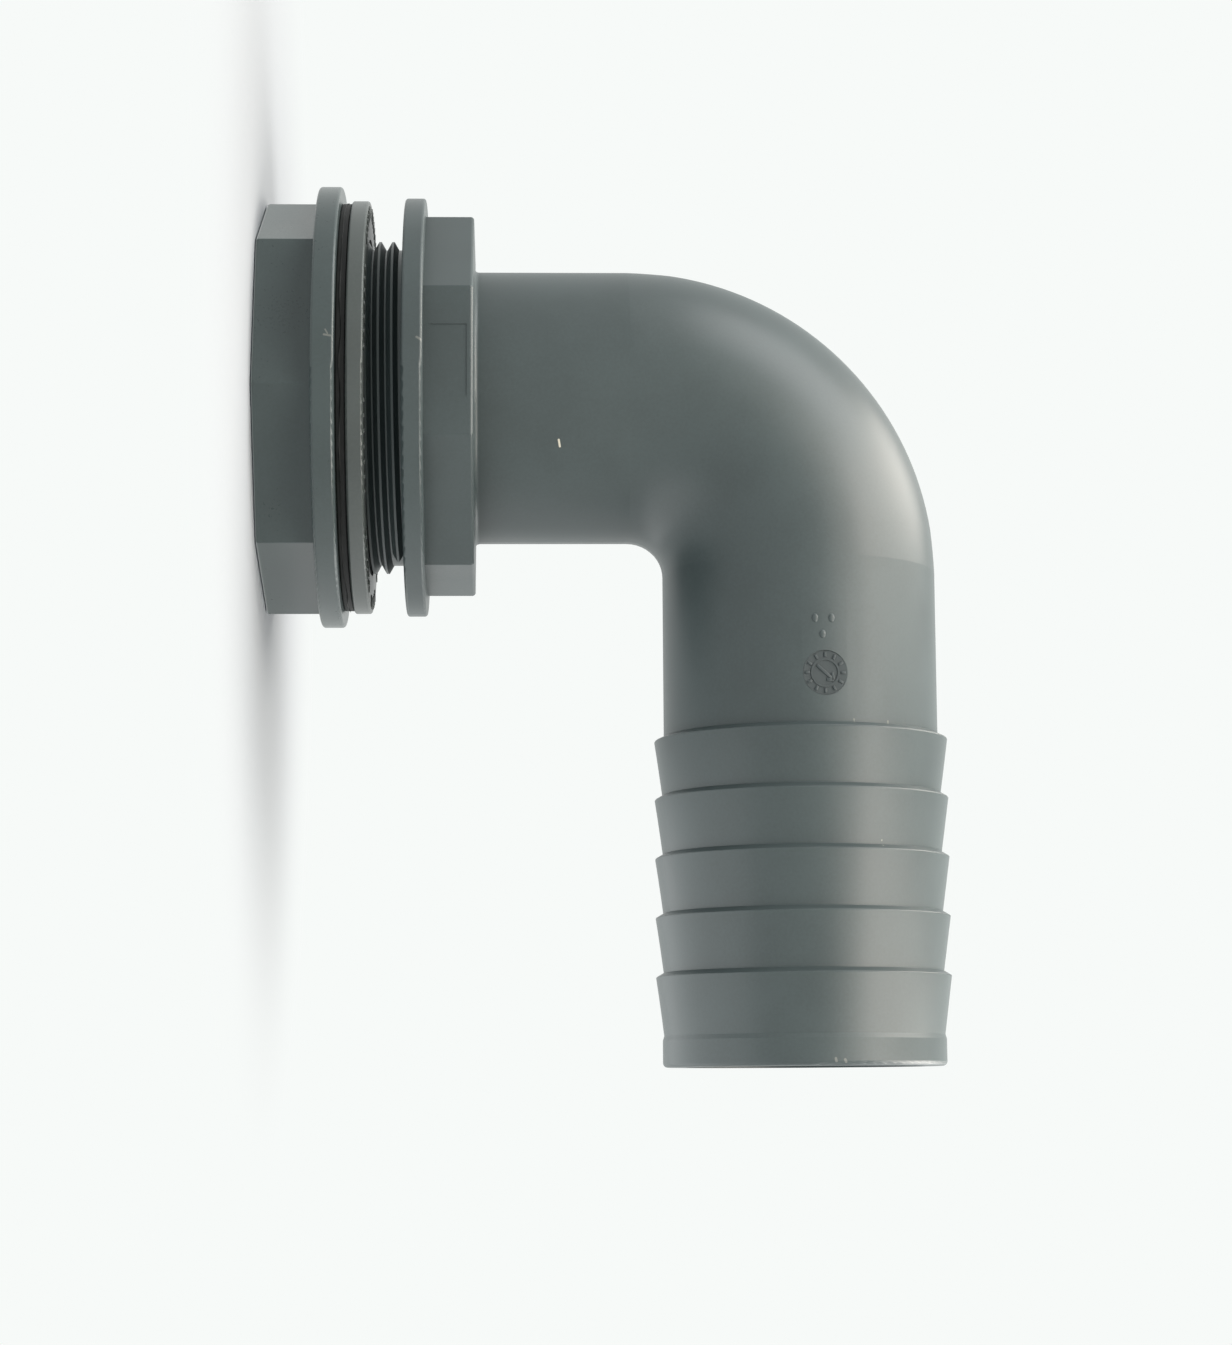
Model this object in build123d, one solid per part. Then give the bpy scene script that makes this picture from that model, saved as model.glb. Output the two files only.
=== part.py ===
"""Tank connector with a barbed hose tail turned through a right angle.

The fitting stands on the open end of its threaded spigot: the thread's axis is Z, the tail's
axis is parallel to X, and the origin is the centre of the spigot's end face. Millimetres.
"""
from build123d import *
import math
import os

# Pipe thread of the spigot and its nut: 2 inch parallel, right-hand, 11 turns to the inch.
thread_major_d = 59.6
thread_pitch = 25.4 / 11
thread_depth = 1.48
thread_crest_width = 0.4
thread_root_width = 0.25
thread_start = 3.4
thread_runout = 1.3
thread_sink = 0.15

# Spigot that goes through the tank wall.
spigot_length = 25.4
spigot_wall = 3.82
spigot_edge = 0.6

# Flange and octagon between the spigot and the pipe.
flange_rim = 7.7
flange_thickness = 3.6
flange_edge = 0.5
flange_lip = 5.75
octagon_height = 8.6
octagon_edge = 0.6
octagon_corner = 0.4
octagon_turn = 19.6
panel_length = 12.7
panel_width = 6.4
panel_depth = 0.15
pipe_foot = 0.8

# Pipe and its bend.
pipe_d = 48.8
pipe_wall = 3.2
pipe_run = 27.3
bend_radius = 30.7
bore_taper_length = 10.0

# Hose tail, with its barbs pointing back at the bend.
tail_run = 29.05
barb_count = 5
barb_pitch = 10.46
barb_crest_d = 52.2
barb_root_d = 49.5
barb_shoulder = 0.8
barb_edge = 0.25
last_barb_taper = 10.3
tail_land_d = 50.0
tail_land_length = 5.5
tail_flare = 0.8
tail_edge = 0.8

# Round mould insert that marks the pipe beside the first barb.
insert_d = 7.8
insert_depth = 0.32
insert_from_barb = 8.4
insert_turn = 5.2

# Back nut.
nut_wall = 4.15
nut_octagon_height = 10.0
nut_flange_lip = 5.25
nut_flange_thickness = 4.0
nut_edge = 0.5
nut_corner = 0.4
nut_turn = 5.6
nut_setback = 0.2

# Rings between the nut and the tank wall.
gasket_width = 6.3
gasket_thickness = 1.8
gasket_edge = 0.3
washer_width = 6.8
washer_thickness = 3.0
washer_edge = 0.4

# Both wrench blocks are octagons.
wrench_sides = 8

# Clearances.
thread_radial_clearance = 0.3
thread_axial_clearance = 0.2
ring_clearance = 0.4

# Levels and radii that follow from the sizes above.
thread_major_r = thread_major_d / 2
thread_minor_r = thread_major_r - thread_depth
spigot_bore_r = thread_minor_r - spigot_wall
flange_d = thread_major_d + 2 * flange_rim
octagon_across_flats = flange_d - 2 * flange_lip
flange_top = spigot_length + flange_thickness
octagon_top = flange_top + octagon_height
bend_start = octagon_top + pipe_run
tail_level = bend_start + bend_radius
pipe_r = pipe_d / 2
pipe_bore_r = pipe_r - pipe_wall
bore_taper_top = spigot_length + bore_taper_length
first_barb = bend_radius + tail_run
barbs_end = first_barb + (barb_count - 1) * barb_pitch + barb_shoulder + last_barb_taper
tail_end = barbs_end + tail_land_length
nut_groove_r = thread_major_r + thread_radial_clearance
nut_octagon_across_flats = 2 * (nut_groove_r + nut_wall)
nut_flange_d = nut_octagon_across_flats + 2 * nut_flange_lip
nut_top = nut_setback + nut_octagon_height + nut_flange_thickness
ring_inner_r = thread_major_r + ring_clearance
gasket_d = 2 * (ring_inner_r + gasket_width)
gasket_top = nut_top + gasket_thickness
washer_d = 2 * (ring_inner_r + washer_width)
thread_section = Plane.XZ
tail_section = Plane(origin=(0, 0, tail_level), x_dir=(0, 0, 1), z_dir=(0, 1, 0))


def turned(points, rounded=None, section=thread_section):
    """A solid of revolution from (radius, distance along the axis) points.

    rounded maps the index of a point to the radius of its corner. The section plane's x is the
    radius and its y is the axis.
    """
    outline = make_face(Polyline(*points, close=True))
    for index, radius in (rounded or {}).items():
        corner = outline.vertices().sort_by_distance(points[index])[0]
        outline = fillet(corner, radius)
    return revolve(section * outline, Axis(section.origin, section.y_dir))


def ring(outer_d, inner_r, bottom, thickness, edge):
    """A flat ring with its outer rims rounded."""
    top = bottom + thickness
    points = [(inner_r, bottom), (outer_d / 2, bottom), (outer_d / 2, top), (inner_r, top)]
    return turned(points, {1: edge, 2: edge})


def octagon(across_flats, bottom, height, turn, corner):
    """An eight-sided block for a wrench, with its upright corners eased."""
    face = RegularPolygon(across_flats / 2, wrench_sides, major_radius=False, rotation=turn)
    block = extrude(Pos(0, 0, bottom) * face, height)
    return fillet(block.edges().filter_by(Axis.Z), corner)


def thread_half_width(radius):
    """Half the width of the spigot's thread ridge at a radius."""
    root_half = (thread_pitch - thread_root_width) / 2
    slope = (root_half - thread_crest_width / 2) / thread_depth
    return thread_crest_width / 2 + (thread_major_r - radius) * slope


def thread_ridge(foot_r, tip_r, foot_half, tip_half, start, height):
    """A right-hand helical ridge whose section is centred on +X at the start height."""
    helix = Helix(thread_pitch, height, foot_r, center=(0, 0, start))
    section_plane = Plane(origin=(foot_r, 0, start), x_dir=(1, 0, 0), z_dir=(0, -1, 0))
    rise = tip_r - foot_r
    section = make_face(
        Polyline((0, -foot_half), (rise, -tip_half), (rise, tip_half), (0, foot_half), close=True)
    )
    return sweep(section_plane * section, path=helix, is_frenet=True)


def pipe_bar(radius, start, end):
    """A round bar along the pipe: up the thread's axis, round the bend and out to the tail's end."""
    turn = TangentArc((0, 0, bend_start), (bend_radius, 0, tail_level), tangent=(0, 0, 1))
    centreline = Line((0, 0, start), turn @ 0) + turn + Line(turn @ 1, (end, 0, tail_level))
    return sweep(Pos(0, 0, start) * Circle(radius), path=centreline)


def tail():
    """The barbs of the hose tail and the short land at its open end."""
    crest_r = barb_crest_d / 2
    root_r = barb_root_d / 2
    land_r = tail_land_d / 2
    points = [(0, first_barb), (pipe_r, first_barb)]
    rounded = {}
    for i in range(barb_count):
        shoulder = first_barb + i * barb_pitch
        if i:
            points.append((root_r, shoulder))
        rounded[len(points)] = barb_edge
        points.append((crest_r, shoulder + barb_shoulder))
    points.append((root_r, barbs_end))
    points.append((land_r, barbs_end + tail_flare))
    rounded[len(points)] = tail_edge
    points.append((land_r, tail_end))
    points.append((0, tail_end))
    return turned(points, rounded, tail_section)


def mould_insert():
    """A flat disc sunk into the round of the pipe, on the side away from +Y."""
    place = first_barb - insert_from_barb
    disc = Pos(0, 0, pipe_r - insert_depth) * extrude(Circle(insert_d / 2), pipe_wall)
    return Pos(place, 0, tail_level) * Rot(90 - insert_turn, 0, 0) * disc


def elbow_body():
    """One moulding: threaded spigot, flange, octagon, pipe, bend and hose tail."""
    core = turned(
        [(0, 0), (thread_minor_r, 0), (thread_minor_r, flange_top), (0, flange_top)],
        {1: spigot_edge},
    )
    ridge_foot_r = thread_minor_r - thread_sink
    ridge = thread_ridge(
        ridge_foot_r,
        thread_major_r,
        thread_half_width(ridge_foot_r),
        thread_half_width(thread_major_r),
        thread_start,
        spigot_length - thread_runout - thread_start,
    )
    wrench_block = octagon(
        octagon_across_flats, flange_top, octagon_height, octagon_turn, octagon_corner
    )
    end_edges = wrench_block.faces().sort_by(Axis.Z)[-1].edges()
    wrench_block = fillet(end_edges, octagon_edge)
    facet_turn = Rot(0, 0, octagon_turn - 180 / wrench_sides)
    panel_place = facet_turn * Pos(0, -octagon_across_flats / 2, flange_top + octagon_height / 2)
    wrench_block -= panel_place * Box(panel_length, 2 * panel_depth, panel_width)
    foot_ring_r = pipe_r + pipe_foot
    pipe = pipe_bar(pipe_r, flange_top, first_barb)
    foot_ring = turned(
        [
            (pipe_r - pipe_foot, octagon_top - pipe_foot),
            (foot_ring_r, octagon_top - pipe_foot),
            (foot_ring_r, octagon_top),
            (pipe_r, octagon_top + pipe_foot),
            (pipe_r - pipe_foot, octagon_top + pipe_foot),
        ]
    )
    foot_ring -= Pos(0, 0, octagon_top + pipe_foot) * Torus(foot_ring_r, pipe_foot)
    flange = ring(flange_d, 0, spigot_length, flange_thickness, flange_edge)
    outside = core + ridge + flange + wrench_block + foot_ring + pipe + tail()

    inlet = turned(
        [
            (0, 0),
            (spigot_bore_r, 0),
            (spigot_bore_r, spigot_length),
            (pipe_bore_r, bore_taper_top),
            (0, bore_taper_top),
        ]
    )
    return outside - inlet - pipe_bar(pipe_bore_r, bore_taper_top, tail_end) - mould_insert()


def back_nut():
    """Octagonal nut with a flange, threaded to run on the spigot."""
    tip_r = thread_minor_r + thread_radial_clearance
    flange_bottom = nut_setback + nut_octagon_height
    block = octagon(
        nut_octagon_across_flats, nut_setback, nut_octagon_height, nut_turn, nut_corner
    )
    end_edges = block.faces().sort_by(Axis.Z)[0].edges()
    block = fillet(end_edges, nut_edge)
    flange = ring(nut_flange_d, 0, flange_bottom, nut_flange_thickness, nut_edge)
    blank = block + flange
    blank -= Pos(0, 0, nut_setback) * extrude(Circle(nut_groove_r), nut_top - nut_setback)

    # The nut's ridge lies midway between two turns of the spigot's ridge.
    foot_r = nut_groove_r + thread_sink
    room = thread_pitch / 2 - thread_axial_clearance
    foot_half = room - thread_half_width(foot_r)
    tip_half = room - thread_half_width(tip_r)
    between = thread_start + thread_pitch / 2
    start = between + math.ceil((nut_setback + foot_half - between) / thread_pitch) * thread_pitch
    height = nut_top - foot_half - start
    return blank + thread_ridge(foot_r, tip_r, foot_half, tip_half, start, height)


def rubber_gasket():
    """Soft ring that lies on the nut's flange."""
    return ring(gasket_d, ring_inner_r, nut_top, gasket_thickness, gasket_edge)


def clamp_washer():
    """Hard ring that lies on the gasket and keeps it from twisting."""
    return ring(washer_d, ring_inner_r, gasket_top, washer_thickness, washer_edge)


os.makedirs("parts", exist_ok=True)
export_step(elbow_body(), "parts/elbow_body.step")
export_step(back_nut(), "parts/back_nut.step")
export_step(rubber_gasket(), "parts/rubber_gasket.step")
export_step(clamp_washer(), "parts/clamp_washer.step")
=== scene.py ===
"""A tank connector in dark grey plastic, with a threaded spigot, a back nut and a barbed hose tail.

The fitting stands on the open end of its spigot; the thread's axis is Z and the tail points along X.
"""
import bmesh
import bpy
from mathutils import Matrix, Vector
from math import cos, pi, radians, sin, sqrt


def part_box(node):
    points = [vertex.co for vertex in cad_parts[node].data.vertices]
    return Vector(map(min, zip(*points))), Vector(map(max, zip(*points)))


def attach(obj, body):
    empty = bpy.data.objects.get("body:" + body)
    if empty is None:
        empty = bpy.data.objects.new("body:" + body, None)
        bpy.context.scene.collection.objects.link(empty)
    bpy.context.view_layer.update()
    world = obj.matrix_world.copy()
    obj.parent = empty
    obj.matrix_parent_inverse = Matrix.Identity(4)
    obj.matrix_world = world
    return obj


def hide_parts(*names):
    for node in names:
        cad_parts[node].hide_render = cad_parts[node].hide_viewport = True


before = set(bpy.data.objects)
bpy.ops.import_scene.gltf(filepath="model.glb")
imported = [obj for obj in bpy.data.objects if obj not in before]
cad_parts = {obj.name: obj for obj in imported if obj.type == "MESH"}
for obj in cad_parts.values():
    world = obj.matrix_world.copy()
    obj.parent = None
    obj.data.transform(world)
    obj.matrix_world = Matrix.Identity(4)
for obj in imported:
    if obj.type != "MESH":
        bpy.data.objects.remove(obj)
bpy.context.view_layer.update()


# The elbow is one injection moulding in dark grey polypropylene: spigot, flange, octagon, pipe, bend
# and barbed tail. Its skin is satin from the mould, finely grained, with a few flecks of lint.
MM = 0.001


class Shade:
    """A socket of a material's tree; arithmetic on it adds Math nodes to that tree."""

    def __init__(self, tree, socket=None):
        self.tree = tree
        self.socket = socket

    def node(self, kind, settings=None, inputs=None, output=0):
        """Add a node: its settings come first, then the values or links of its sockets."""
        new = self.tree.nodes.new(kind)
        for name, value in (settings or {}).items():
            setattr(new, name, value)
        for name, value in (inputs or {}).items():
            if isinstance(value, Shade):
                self.tree.links.new(value.socket, new.inputs[name])
            else:
                new.inputs[name].default_value = value
        return Shade(self.tree, new.outputs[output]) if new.outputs else None

    def maths(self, operation, *values):
        """Add a Math node on sockets or numbers."""
        return self.node("ShaderNodeMath", {"operation": operation}, dict(enumerate(values)))

    def __add__(self, other):
        return self.maths("ADD", self, other)

    __radd__ = __add__

    def __sub__(self, other):
        return self.maths("SUBTRACT", self, other)

    def __rsub__(self, other):
        return self.maths("SUBTRACT", other, self)

    def __mul__(self, other):
        return self.maths("MULTIPLY", self, other)

    __rmul__ = __mul__

    def ramp(self, low, high):
        """0 below low, 1 above high, smooth between."""
        ends = {"Value": self, "From Min": low, "From Max": high}
        return self.node("ShaderNodeMapRange", {"interpolation_type": "SMOOTHSTEP"}, ends)

    def blend(self, first, second):
        """The first colour where this value is 0, the second where it is 1."""
        return self.node("ShaderNodeMix", {"data_type": "RGBA"}, {0: self, 6: first, 7: second}, 2)


def new_material(name):
    """An empty material, its tree and the place on the surface in metres."""
    material = bpy.data.materials.new(name)
    material.use_nodes = True
    material.node_tree.nodes.clear()
    start = Shade(material.node_tree)
    place = start.node("ShaderNodeTexCoord", output="Object")
    return material, start, place


def finish_material(start, sockets):
    """Join the sockets' values to the surface and the surface to the material's output."""
    surface = start.node("ShaderNodeBsdfPrincipled", None, sockets)
    start.node("ShaderNodeOutputMaterial", None, {"Surface": surface})


def grain(place, size, detail=2.0):
    """Noise whose patches are about as long as size, in metres."""
    return place.node(
        "ShaderNodeTexNoise", None, {"Vector": place, "Scale": 1 / size, "Detail": detail}
    )


def toned(colour, factor=1.0):
    """A colour made lighter or darker by a factor, as a colour socket takes it."""
    return tuple(channel * factor for channel in colour) + (1.0,)


def fleck(place, first, second, width):
    """1 on a hair-like mark between two points of the surface, in metres, soft at its edge."""
    along = second - first
    offset = place.node("ShaderNodeVectorMath", {"operation": "SUBTRACT"}, {0: place, 1: first})
    share = offset.node(
        "ShaderNodeVectorMath",
        {"operation": "DOT_PRODUCT"},
        {0: offset, 1: along / along.length_squared},
        "Value",
    )
    share = share.node("ShaderNodeClamp", None, {"Value": share})
    nearest = share.node("ShaderNodeVectorMath", {"operation": "SCALE"}, {0: along, "Scale": share})
    gap = offset.node(
        "ShaderNodeVectorMath", {"operation": "DISTANCE"}, {0: offset, 1: nearest}, "Value"
    )
    core = width * 0.35
    fringe = width * 0.65
    return 1 - gap.ramp(core, fringe)


def moulded_plastic(name, colour, roughness, flecks=()):
    """Satin plastic: cloudy colour, a fine grain left by the mould, and flecks of lint."""
    cloud_size = 14 * MM
    speckle_size = 0.5 * MM
    skin_size = 0.25 * MM
    skin_relief = 0.03 * MM
    skin_strength = 0.15
    tone_spread = 0.1
    gloss_spread = 0.1
    material, start, place = new_material(name)
    cloud = grain(place, cloud_size, 3.0)
    speckle = grain(place, speckle_size)
    skin = grain(place, skin_size)
    mottle = (cloud * 0.6 + speckle * 0.4).ramp(0.3, 0.7)
    body = mottle.blend(toned(colour, 1 - tone_spread), toned(colour, 1 + tone_spread))
    for first, second, width, tone in flecks:
        mark = fleck(place, Vector(first) * MM, Vector(second) * MM, width * MM)
        body = mark.blend(body, toned(tone))
    rough = (roughness - gloss_spread) + cloud * gloss_spread + speckle * gloss_spread
    relief = start.node(
        "ShaderNodeBump",
        None,
        {"Height": skin, "Strength": skin_strength, "Distance": skin_relief},
    )
    finish_material(start, {"Base Color": body, "Roughness": rough, "Normal": relief})
    return material


# Each fleck has its two ends and its width in millimetres, and its colour.
elbow_colour = (0.047, 0.063, 0.065)
lint = (0.62, 0.58, 0.48)
bruise = (0.24, 0.25, 0.23)
scuff = (0.15, 0.16, 0.15)
elbow_flecks = [
    ((10.3, -22.1, 52.3), (11.4, -21.6, 52.5), 0.34, lint),
    ((80.0, -22.0, 107.3), (81.9, -22.4, 107.6), 0.3, bruise),
    ((117.0, -24.9, 98.5), (117.5, -24.8, 98.6), 0.45, scuff),
    ((117.2, -24.6, 100.1), (117.7, -24.5, 100.3), 0.45, scuff),
    ((59.3, -23.4, 102.7), (60.2, -23.5, 102.8), 0.3, scuff),
    ((59.3, -20.4, 108.8), (60.0, -20.6, 108.9), 0.3, scuff),
    ((-4.2, -37.3, 28.1), (-3.7, -37.3, 28.9), 0.4, scuff),
]
elbow_grey = moulded_plastic("elbow_grey", elbow_colour, roughness=0.39, flecks=elbow_flecks)

bend_start = 64.9 * MM
bend_radius = 30.7 * MM
bend_margin = 0.1 * MM
flattest_chord = 0.02 * MM
rounding_passes = 2
weld_gap = 0.001 * MM


def in_bend(edge):
    """Whether both ends of an edge are on the bend, between the two straight pipes."""
    ends = [vertex.co for vertex in edge.verts]
    low = min(end.z for end in ends)
    far = max(end.x for end in ends)
    return low > bend_start - bend_margin and far < bend_radius + bend_margin


def bow_of(edge, facing):
    """How far the middle of a chord stands off the curve that is square to the normals at its ends.

    The curve is a cubic, so at its middle it leaves the chord by an eighth of the change of slope.
    """
    bow = Vector()
    for corner in edge.link_loops:
        run = corner.link_loop_next.vert.co - corner.vert.co
        first = corner[facing].normalized()
        second = corner.link_loop_next[facing].normalized()
        side = (second * run.dot(second) - first * run.dot(first)) / 8
        bow = max(bow, side, key=lambda way: way.length)
    return bow


def rounded_copy(node, name):
    """A copy of a node whose chords on the bend are divided and bowed out to a smooth round."""
    mesh = node.data.copy()
    mesh.name = name
    facing = mesh.attributes.new("facing", "FLOAT_VECTOR", "CORNER")
    facing.data.foreach_set("vector", [n for corner in mesh.corner_normals for n in corner.vector])
    shape = bmesh.new()
    shape.from_mesh(mesh)
    facing = shape.loops.layers.float_vector["facing"]
    bmesh.ops.remove_doubles(shape, verts=shape.verts, dist=weld_gap)
    for _ in range(rounding_passes):
        for edge in [edge for edge in shape.edges if in_bend(edge)]:
            bow = bow_of(edge, facing)
            if bow.length > flattest_chord:
                middle = bmesh.utils.edge_split(edge, edge.verts[0], 0.5)[1]
                middle.co += bow
        bmesh.ops.triangulate(shape, faces=shape.faces)
    shape.to_mesh(mesh)
    shape.free()
    normals = [Vector(corner.vector).normalized() for corner in mesh.attributes["facing"].data]
    mesh.attributes.remove(mesh.attributes["facing"])
    mesh.shade_smooth()
    mesh.normals_split_custom_set(normals)
    return mesh


def add_piece(name, mesh, body):
    """Show a mesh as a piece that rides on a body and takes its finish from a material slot."""
    piece = bpy.data.objects.new(name, mesh)
    bpy.context.collection.objects.link(piece)
    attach(piece, body)
    return piece


elbow_mesh = rounded_copy(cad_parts["elbow_body"], "elbow_moulding")
elbow_mesh.materials[0] = elbow_grey
elbow = add_piece("elbow_moulding", elbow_mesh, "elbow")
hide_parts("elbow_body")


# The mould's dating insert leaves a flat round mark beside the first barb: a raised circle, a ring of
# short ticks and an arrow across the middle, all part of the elbow's moulding.
def raised_bar(shape, length, width, height, place):
    """Add a low bar with eased edges, its length along the place's X, standing on its XY plane."""
    sunk = 0.04 * MM
    ease = height * 0.3
    size = Matrix.Diagonal((length, width, height + sunk, 1))
    stand = Matrix.Translation((0, 0, (height - sunk) / 2))
    made = bmesh.ops.create_cube(shape, size=1.0, matrix=place @ stand @ size)
    edges = []
    for corner in made["verts"]:
        edges += [edge for edge in corner.link_edges if edge not in edges]
    bmesh.ops.bevel(
        shape,
        geom=edges,
        offset=ease,
        offset_type="OFFSET",
        segments=2,
        profile=0.5,
        affect="EDGES",
        material=-1,
    )


def turned_ring(shape, corners, steps):
    """Add a ring about Z from the (radius, height) corners of its section."""
    section = [shape.verts.new((radius, 0, height)) for radius, height in corners]
    edges = [shape.edges.new((section[i - 1], section[i])) for i in range(len(section))]
    bmesh.ops.spin(
        shape,
        geom=section + edges,
        cent=(0, 0, 0),
        axis=(0, 0, 1),
        angle=2 * pi,
        steps=steps,
        use_merge=True,
    )


def new_piece(name, shape, material, body):
    """Turn a finished bmesh into a piece: rounded edges shade smooth, square ones stay crisp."""
    crisp_angle = radians(50)
    bmesh.ops.recalc_face_normals(shape, faces=shape.faces)
    mesh = bpy.data.meshes.new(name)
    shape.to_mesh(mesh)
    shape.free()
    mesh.materials.append(material)
    mesh.shade_smooth()
    mesh.set_sharp_from_angle(angle=crisp_angle)
    add_piece(name, mesh, body)


tail_level = 95.6 * MM


def on_tail(along, turn, out):
    """A place at a distance out from the tail's axis: its X lies along the tail, its Z points out.

    The turn is measured up from the tail's side that faces -Y.
    """
    outward = Vector((0, -cos(turn), sin(turn)))
    forward = Vector((1, 0, 0))
    across = outward.cross(forward)
    face = Matrix((forward, across, outward)).transposed().to_4x4()
    return Matrix.Translation(Vector((along, 0, tail_level)) + outward * out) @ face


insert_along = 51.35 * MM
insert_out = 24.08 * MM
insert_turn = radians(5.2)
plate_r = 3.82 * MM
plate_rise = 0.07 * MM
plate_sides = 64
mark_height = 0.26 * MM
circle_r = 2.35 * MM
circle_half = 0.17 * MM
circle_steps = 48
tick_count = 12
tick_middle_r = 3.1 * MM
tick_length = 0.85 * MM
tick_width = 0.46 * MM
arrow_turn = radians(49)
arrow_length = 3.9 * MM
arrow_width = 0.55 * MM
arrow_head_length = 1.3 * MM
arrow_head_along = 1.404 * MM
arrow_head_aside = 0.39 * MM
arrow_head_lean = radians(40)
insert_colour = (0.03, 0.041, 0.044)

marks = bmesh.new()
bmesh.ops.create_cone(
    marks,
    cap_ends=True,
    segments=plate_sides,
    radius1=plate_r,
    radius2=plate_r,
    depth=2 * plate_rise,
)
inner_r = circle_r - circle_half
outer_r = circle_r + circle_half
circle_section = [(inner_r, 0), (outer_r, 0), (outer_r, mark_height), (inner_r, mark_height)]
turned_ring(marks, circle_section, circle_steps)
for i in range(tick_count):
    way = Matrix.Rotation(2 * pi * i / tick_count, 4, "Z")
    out = Matrix.Translation((tick_middle_r, 0, 0))
    raised_bar(marks, tick_length, tick_width, mark_height, way @ out)
arrow = Matrix.Rotation(arrow_turn, 4, "Z")
raised_bar(marks, arrow_length, arrow_width, mark_height, arrow)
for side in (1, -1):
    head = Matrix.Translation((arrow_head_along, side * arrow_head_aside, 0))
    lean = Matrix.Rotation(-side * arrow_head_lean, 4, "Z")
    raised_bar(marks, arrow_head_length, arrow_width, mark_height, arrow @ head @ lean)
insert_place = on_tail(insert_along, insert_turn, insert_out)
bmesh.ops.transform(marks, matrix=insert_place, verts=marks.verts)
insert_grey = moulded_plastic("insert_grey", insert_colour, roughness=0.5)
new_piece("insert_marks", marks, insert_grey, "elbow")


# Three small raised pips stand above the insert and tell which cavity of the mould the elbow came
# from. They are part of the elbow's moulding.
pipe_r = 24.4 * MM
pip_length = 1.5 * MM
pip_width = 1.1 * MM
pip_height = 0.2 * MM
pip_places = [
    (41.9 * MM, radians(1.2)),
    (41.9 * MM, radians(8.0)),
    (44.7 * MM, radians(4.2)),
]

pips = bmesh.new()
pip_size = Matrix.Diagonal((pip_length / 2, pip_width / 2, pip_height, 1))
for along, turn in pip_places:
    pip_place = on_tail(along, turn, pipe_r) @ pip_size
    bmesh.ops.create_uvsphere(pips, u_segments=24, v_segments=12, radius=1.0, matrix=pip_place)
new_piece("cavity_pips", pips, elbow_grey, "elbow")


# The washer is a stiff plastic ring, a shade lighter than the nut. It is loose on the spigot and
# keeps the turning nut from dragging the gasket against the wall.
washer_colour = (0.062, 0.074, 0.072)
washer_grey = moulded_plastic("washer_grey", washer_colour, roughness=0.34)
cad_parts["clamp_washer"].data.materials[0] = washer_grey


# Short raised bars stand near the rim on the washer's upper face, in groups, and give it some grip on
# the tank wall. They are moulded with the washer.
washer_low, washer_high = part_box("clamp_washer")
bar_groups = 9
bars_in_group = 7
bar_step = radians(4.2)
bar_length = 2.2 * MM
bar_width = 0.7 * MM
bar_height = 0.2 * MM
bar_from_rim = 1.9 * MM

bars = bmesh.new()
bar_out = Matrix.Translation((washer_high[0] - bar_from_rim, 0, washer_high[2]))
for group in range(bar_groups):
    for i in range(bars_in_group):
        turn = 2 * pi * group / bar_groups + i * bar_step
        raised_bar(bars, bar_length, bar_width, bar_height, Matrix.Rotation(turn, 4, "Z") @ bar_out)
new_piece("washer_bars", bars, washer_grey, "rings")


# The gasket is a flat ring of black rubber, loose on the spigot between the washer and the nut's
# flange. Its surface is dull, with a fine dusty bloom.
def dull_rubber(name, colour, bloom):
    """Black rubber with a thin grey bloom in patches."""
    patch_size = 4 * MM
    skin_size = 0.15 * MM
    skin_relief = 0.04 * MM
    skin_strength = 0.4
    gloss = 0.25
    material, start, place = new_material(name)
    patches = grain(place, patch_size, 4.0)
    skin = grain(place, skin_size, 3.0)
    body = patches.ramp(0.45, 0.75).blend(toned(colour), toned(bloom))
    rough = 0.5 + patches * 0.15
    relief = start.node(
        "ShaderNodeBump",
        None,
        {"Height": skin, "Strength": skin_strength, "Distance": skin_relief},
    )
    sockets = {"Base Color": body, "Roughness": rough, "Normal": relief, "Specular IOR Level": gloss}
    finish_material(start, sockets)
    return material


rubber_colour = (0.005, 0.006, 0.006)
bloom_colour = (0.011, 0.012, 0.012)
gasket_black = dull_rubber("gasket_black", rubber_colour, bloom_colour)
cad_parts["rubber_gasket"].data.materials[0] = gasket_black


# A ragged fin of rubber stands out of the gasket's rim where the two halves of its mould met. It is
# part of the gasket, thin and wavy.
gasket_low, gasket_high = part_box("rubber_gasket")
rim_r = gasket_high[0]
rim_middle = (gasket_low[2] + gasket_high[2]) / 2
fin_foot = 0.08 * MM
fin_reach = 0.28 * MM
fin_half = 0.09 * MM
fin_steps = 360

fin = bmesh.new()
fin_section = [(rim_r - fin_foot, -fin_half), (rim_r + fin_reach, 0), (rim_r - fin_foot, fin_half)]
turned_ring(fin, fin_section, fin_steps)
for point in fin.verts:
    reach = point.co.xy.length - rim_r
    if reach > 0:
        turn = point.co.xy.angle_signed(Vector((1, 0)))
        long_wave = sin(17 * turn) * sin(5 * turn + 1)
        short_wave = sin(61 * turn + 2)
        sway = sin(9 * turn + 3 * sin(4 * turn))
        ragged = 0.55 + 0.25 * long_wave + 0.2 * short_wave
        point.co.xy *= (rim_r + reach * ragged) / (rim_r + reach)
        point.co.z = fin_half * 2 * sway
    point.co.z += rim_middle
new_piece("gasket_fin", fin, gasket_black, "rings")


# The back nut is an octagon with a flange, moulded in the same grey plastic and threaded inside. It
# runs on the spigot and clamps the rings against the tank wall.
nut_colour = (0.046, 0.063, 0.064)
nut_flecks = [
    ((-4.1, -39.3, 12.6), (-3.9, -39.3, 13.7), 0.35, scuff),
    ((-5.0, -39.2, 12.8), (-4.3, -39.3, 13.2), 0.25, scuff),
]
nut_grey = moulded_plastic("nut_grey", nut_colour, roughness=0.3, flecks=nut_flecks)
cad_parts["back_nut"].data.materials[0] = nut_grey


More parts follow.
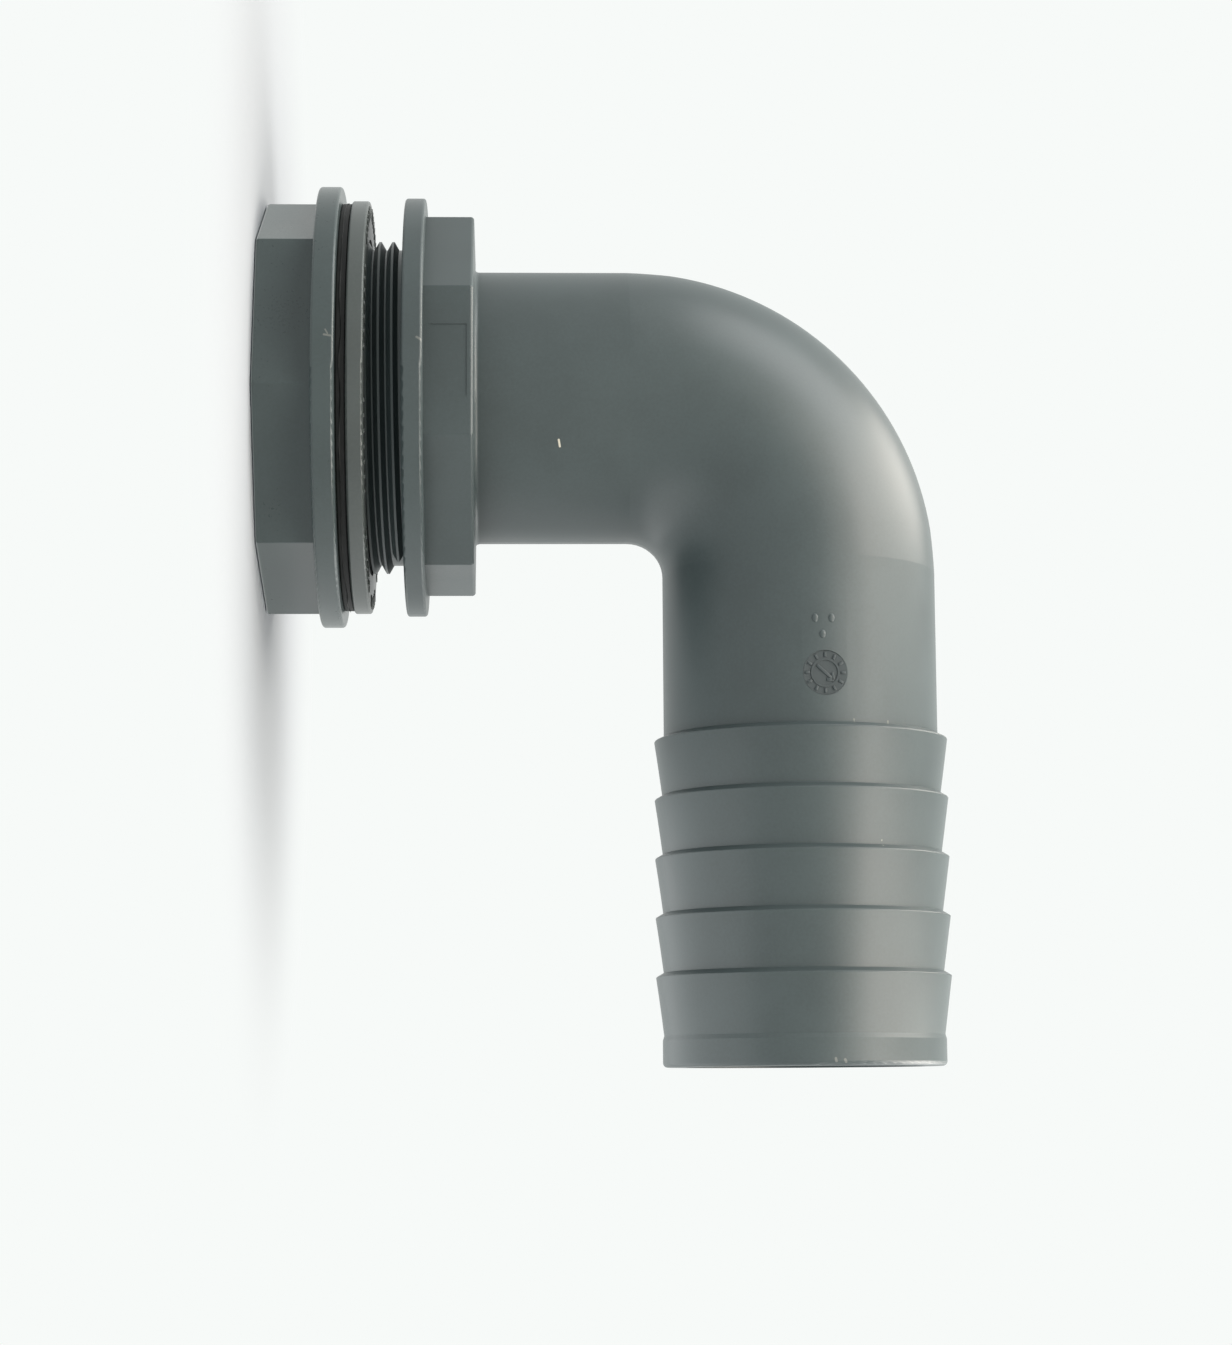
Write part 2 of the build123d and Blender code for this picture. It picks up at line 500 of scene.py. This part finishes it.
# The floor is a white sheet. Near the fitting it is a little greyer than the white beyond, a painted
# shade round the fitting, and it also takes the fitting's real soft shadow. Further out it fades into
# the white of the surroundings.
floor_half = 6.0
shadow_fades_from = 0.045
shadow_ends_at = 0.14
white = (0.93, 0.955, 0.94)
# Painted shade: the paper is darker than the white, so the sheet shows a grey patch round the fitting.
paper_with_painted_shade = (0.37, 0.395, 0.42)

floor_mesh = bpy.data.meshes.new("floor")
floor = bpy.data.objects.new("floor", floor_mesh)
bpy.context.collection.objects.link(floor)
sheet = bmesh.new()
bmesh.ops.create_grid(sheet, x_segments=1, y_segments=1, size=floor_half)
sheet.to_mesh(floor_mesh)
sheet.free()
white_sheet, start, place = new_material("white_sheet")
reach = start.node("ShaderNodeVectorMath", {"operation": "LENGTH"}, {0: place}, "Value")
paper = start.node("ShaderNodeBsdfDiffuse", None, {"Color": toned(paper_with_painted_shade)})
surround = start.node("ShaderNodeEmission", None, {"Color": toned(white), "Strength": 1.0})
seen = start.node("ShaderNodeLightPath", output="Is Camera Ray")
away = 1 - seen * (1 - reach.ramp(shadow_fades_from, shadow_ends_at))
faded = start.node("ShaderNodeMixShader", None, {0: away, 1: paper, 2: surround})
start.node("ShaderNodeOutputMaterial", None, {"Surface": faded})
floor_mesh.materials.append(white_sheet)


# The surroundings are white wherever the camera, a reflection or a clear surface shows them, and give
# an even fill.
fill_level = 0.15

world = bpy.data.worlds.new("white_room")
bpy.context.scene.world = world
world.use_nodes = True
world.node_tree.nodes.clear()
room = Shade(world.node_tree)
seen = room.node("ShaderNodeLightPath", output="Is Camera Ray")
mirrored = room.node("ShaderNodeLightPath", output="Is Glossy Ray")
through = room.node("ShaderNodeLightPath", output="Is Transmission Ray")
shown = seen.maths("MAXIMUM", seen, mirrored.maths("MAXIMUM", mirrored, through))
level = fill_level + shown * (1 - fill_level)
light = room.node("ShaderNodeBackground", None, {"Color": toned(white), "Strength": level})
room.node("ShaderNodeOutputWorld", None, {"Surface": light})


# Six softboxes hang round the fitting: one above the camera, three on its sides, and two overhead that
# put soft highlights on the outer sides of the bend and of the tail. A card on the floor throws light
# back up at the tail.
def softbox(name, aim, direction, distance, width, depth, brightness, colour):
    """An area lamp of the given brightness, where 1 is white, turned towards its aim."""
    lamp = bpy.data.lights.new(name, "AREA")
    lamp.shape = "RECTANGLE"
    lamp.size = width
    lamp.size_y = depth
    lamp.energy = brightness * pi * width * depth
    lamp.color = colour
    box = bpy.data.objects.new(name, lamp)
    bpy.context.collection.objects.link(box)
    way = Vector(direction).normalized()
    box.location = Vector(aim) + way * distance
    box.rotation_euler = way.to_track_quat("Z", "Y").to_euler()
    box.visible_camera = False


warm = (1.0, 0.93, 0.85)
plain = (1.0, 1.0, 1.0)
bend_centre = (0.014, 0, 0.096)
tail_centre = (0.11, 0, 0.096)
under_tail = (0.175, 0, 0.002)
middle = (0.045, 0, 0.07)
softbox(
    "bend_softbox",
    aim=bend_centre,
    direction=(-0.39, -0.05, 0.92),
    distance=0.6,
    width=0.9,
    depth=0.28,
    brightness=7.4,
    colour=warm,
)
softbox(
    "tail_softbox",
    aim=tail_centre,
    direction=(0.36, -0.08, 0.93),
    distance=0.3,
    width=0.6,
    depth=0.18,
    brightness=6.1,
    colour=warm,
)
softbox(
    "front_softbox",
    aim=middle,
    direction=(-0.05, -0.75, 0.65),
    distance=0.6,
    width=0.8,
    depth=0.34,
    brightness=2.3,
    colour=warm,
)
softbox(
    "far_softbox",
    aim=middle,
    direction=(0.64, 0.46, 0.62),
    distance=0.6,
    width=0.4,
    depth=0.4,
    brightness=3.0,
    colour=plain,
)
softbox(
    "near_softbox",
    aim=middle,
    direction=(-0.8, -0.2, 0.55),
    distance=0.6,
    width=0.4,
    depth=0.4,
    brightness=3.8,
    colour=plain,
)
softbox(
    "bounce_card",
    aim=under_tail,
    direction=(0, 0, -1),
    distance=0.0,
    width=0.2,
    depth=0.2,
    brightness=1.1,
    colour=plain,
)
softbox(
    "end_softbox",
    aim=middle,
    direction=(0.95, 0.2, 0.22),
    distance=0.6,
    width=0.5,
    depth=0.4,
    brightness=0.5,
    colour=plain,
)


# The camera stands level with the fitting and is turned on its side, so that the thread's axis lies
# across the picture and the tail points down.
image_height = 1345
focal_pixels = 3145.75
sensor_mm = 36.0
target = Vector((48.053, 0, 62.748)) * MM
distance = 562.276 * MM
towards_tail = sin(radians(7.635))
towards_floor = sin(radians(2.026))
roll = radians(-0.108)

back = Vector((towards_tail, -sqrt(1 - towards_tail**2 - towards_floor**2), -towards_floor))
right = Vector((0, 0, 1))
right = (right - right.dot(back) * back).normalized()
up = back.cross(right)
right, up = right * cos(roll) + up * sin(roll), up * cos(roll) - right * sin(roll)
lens = bpy.data.cameras.new("camera")
lens.sensor_width = sensor_mm
lens.lens = focal_pixels / image_height * sensor_mm
camera = bpy.data.objects.new("camera", lens)
bpy.context.collection.objects.link(camera)
facing = Matrix((right, up, back)).transposed().to_4x4()
camera.matrix_world = Matrix.Translation(target + back * distance) @ facing
bpy.context.scene.camera = camera
bpy.context.scene.view_settings.view_transform = "Standard"
